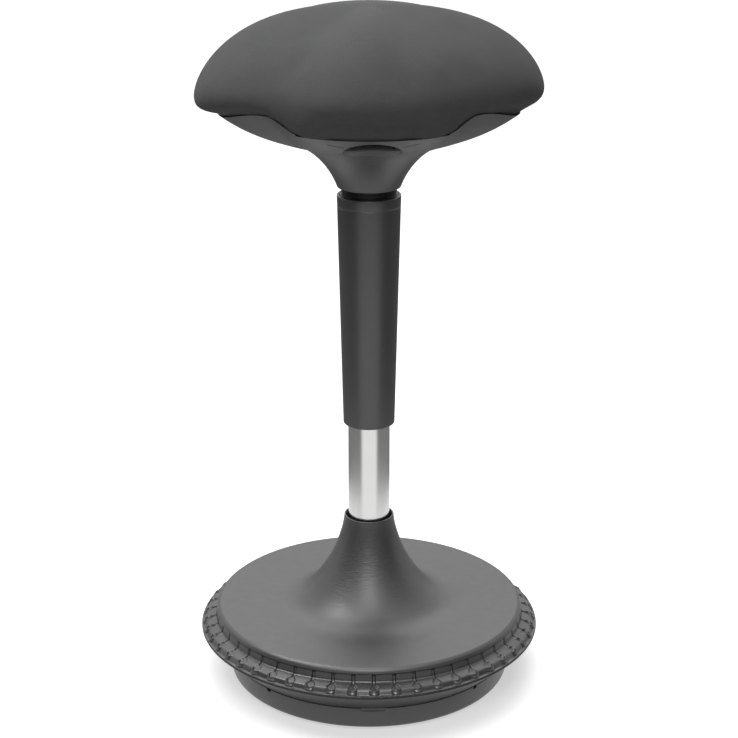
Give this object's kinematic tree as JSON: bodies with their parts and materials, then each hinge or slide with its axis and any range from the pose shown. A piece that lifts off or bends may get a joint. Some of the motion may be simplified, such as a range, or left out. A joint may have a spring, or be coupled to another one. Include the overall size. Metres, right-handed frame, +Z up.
{
  "type": "wobble stool",
  "caption": "Height-adjustable wobble stool: weighted round base with a notched rubber rim, chromed tube with a tapered sleeve, and a lobed padded seat.",
  "frame": {"origin": "on the floor under the middle of the base, where the rubber pad rests", "axes": "+Z up along the column, front of the stool with its finger opening towards -Y, +X to the right seen from the front"},
  "size_m": [0.4142, 0.4134, 0.8236],
  "materials": {
    "cover_plastic": "fine matte, turned-looking rings round the flare",
    "dark_plastic": "fine-grained matte moulding",
    "black_plastic": "semi-matte",
    "black_paint": "satin black",
    "rubber": "matte moulded rubber",
    "chrome": "satin chrome",
    "steel": "plain zinc-plated",
    "cast_iron": "raw casting",
    "fabric": "fine-weave stretch fabric",
    "foam": "moulded foam",
    "wood": "plain plywood"
  },
  "bodies": {
    "base": {"base_cover": "cover_plastic", "rim_ring": "rubber", "base_dish": "dark_plastic", "foot_ring": "dark_plastic", "bottom_pad": "rubber", "ballast_plate": "cast_iron", "hub_socket": "cast_iron", "outer_tube": "chrome", "tube_end_plate": "steel", "guide_bush": "black_plastic", "bearing_lower_washer": "steel", "ball_cage": "steel", "hub_bolt_1": "steel", "hub_bolt_2": "steel", "hub_bolt_3": "steel", "hub_bolt_4": "steel", "cover_screw_1": "steel", "cover_screw_2": "steel", "cover_screw_3": "steel", "cover_screw_4": "steel"},
    "rod": {"piston_rod": "steel", "piston_head": "steel", "bearing_upper_washer": "steel", "rubber_bumper": "rubber", "rod_clip": "steel"},
    "seat": {"pressure_cylinder": "black_paint", "cylinder_gland": "steel", "sleeve": "dark_plastic", "neck_ring": "black_plastic", "seat_shell": "dark_plastic", "taper_hub": "steel", "lever_bracket": "steel", "lever_pin": "steel", "mount_plate": "steel", "seat_board": "wood", "seat_foam": "foam", "seat_cover": "fabric", "plate_bolt_1": "steel", "plate_bolt_2": "steel", "plate_bolt_3": "steel", "plate_bolt_4": "steel", "shell_screw_1": "steel", "shell_screw_2": "steel", "shell_screw_3": "steel", "shell_screw_4": "steel"},
    "release_lever": {"release_lever": "steel", "lever_grip": "black_plastic"},
    "release_pin": {"release_pin": "steel"}
  },
  "joints": [
    {"name": "swivel", "type": "hinge", "parent": "base", "child": "rod", "pos_m": [0, 0, 0.044], "axis": [0, 0, 1], "continuous": true},
    {"name": "lift", "type": "slide", "parent": "rod", "child": "seat", "axis": [0, 0, 1], "range_m": [-0.118, 0.022]},
    {"name": "lever", "type": "hinge", "parent": "seat", "child": "release_lever", "pos_m": [0, -0.03, 0.676], "axis": [-1, 0, 0], "range_deg": [0, 7], "stiffness_Nm_per_rad": 3, "springref_deg": -17.19},
    {"name": "valve", "type": "slide", "parent": "seat", "child": "release_pin", "axis": [0, 0, -1], "range_m": [0, 0.0039]}
  ],
  "couplings": [
    {"joint": "valve", "follows": "lever", "m_per_rad": 0.0311}
  ]
}
